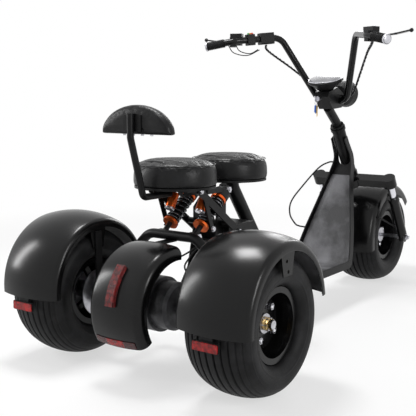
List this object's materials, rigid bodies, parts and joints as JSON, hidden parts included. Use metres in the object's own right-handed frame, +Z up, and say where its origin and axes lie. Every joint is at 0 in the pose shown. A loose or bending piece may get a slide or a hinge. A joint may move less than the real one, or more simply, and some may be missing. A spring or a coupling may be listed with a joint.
{
  "type": "electric golf trike",
  "caption": "Electric trike with fat tyres, high handlebar, step-through board, two seats with a backrest, and moulded black mudguards.",
  "frame": {"origin": "centre of the footprint box, on the ground", "axes": "+Y forwards, +X to the rider's right, +Z up"},
  "size_m": [0.99, 2.097, 1.1563],
  "materials": {
    "tyre": "matt black rubber",
    "black_steel": "satin black powder coat",
    "gloss_black": "gloss black paint",
    "guard_black": "satin black paint on moulded guards",
    "bright": "zinc-plated steel",
    "chrome": "polished",
    "orange": "orange anodised",
    "seat": "black synthetic leather",
    "mat": "worn grey-black rubber",
    "plastic": "black moulded plastic",
    "lens_red": "red transparent plastic",
    "lens": "clear",
    "motor": "dark cast aluminium"
  },
  "bodies": {
    "chassis": {"rear_guard_left": "guard_black", "rear_guard_right": "guard_black", "mid_guard": "guard_black", "rear_axle": "motor", "rear_calipers": "motor", "swing_arm": "black_steel", "rear_hoop": "black_steel", "guard_brackets": "black_steel", "shock_dampers": "plastic", "shock_springs": "plastic", "shock_collars": "orange", "shock_canisters": "orange", "shock_bolts": "bright", "tail_lamp": "lens_red", "reflectors": "lens_red", "main_frame": "black_steel", "footboard": "black_steel", "foot_mat": "mat", "seat_tube": "black_steel", "battery_box": "plastic", "rear_plates": "black_steel", "seat_struts": "black_steel", "seat_pans": "black_steel", "rear_seat_cushion": "seat", "front_seat_cushion": "seat", "backrest_pad": "seat", "backrest_post": "black_steel", "neck_cable": "plastic"},
    "front_wheel": {"front_tyre": "tyre", "front_rim": "gloss_black", "front_hub": "bright"},
    "rear_wheel_left": {"rear_tyre_left": "tyre", "rear_rim_left": "gloss_black", "rear_hub_left": "bright"},
    "rear_wheel_right": {"rear_tyre_right": "tyre", "rear_rim_right": "gloss_black", "rear_hub_right": "bright"},
    "steering": {"steering_stem": "black_steel", "yoke": "gloss_black", "fork_tubes": "chrome", "fork_sliders": "gloss_black", "front_axle": "bright", "front_guard": "guard_black", "guard_stays": "black_steel", "handlebar": "gloss_black", "grips": "plastic", "master_cylinders": "plastic", "brake_levers": "gloss_black", "switch_pods": "plastic", "gauge": "plastic", "headlamp": "plastic", "headlamp_lens": "lens", "ignition_key": "bright", "bar_cables": "plastic"}
  },
  "joints": [
    {"name": "steering_turn", "type": "hinge", "parent": "chassis", "child": "steering", "pos_m": [0, 0.53878, 0.63464], "axis": [0, -0.5446, 0.8387], "range_deg": [-35, 35]},
    {"name": "front_wheel_spin", "type": "hinge", "parent": "steering", "child": "front_wheel", "pos_m": [0, 0.8245, 0.224], "axis": [1, 0, 0], "continuous": true},
    {"name": "rear_left_spin", "type": "hinge", "parent": "chassis", "child": "rear_wheel_left", "pos_m": [-0.363, -0.8005, 0.224], "axis": [1, 0, 0], "continuous": true},
    {"name": "rear_right_spin", "type": "hinge", "parent": "chassis", "child": "rear_wheel_right", "pos_m": [0.363, -0.8005, 0.224], "axis": [1, 0, 0], "continuous": true}
  ]
}
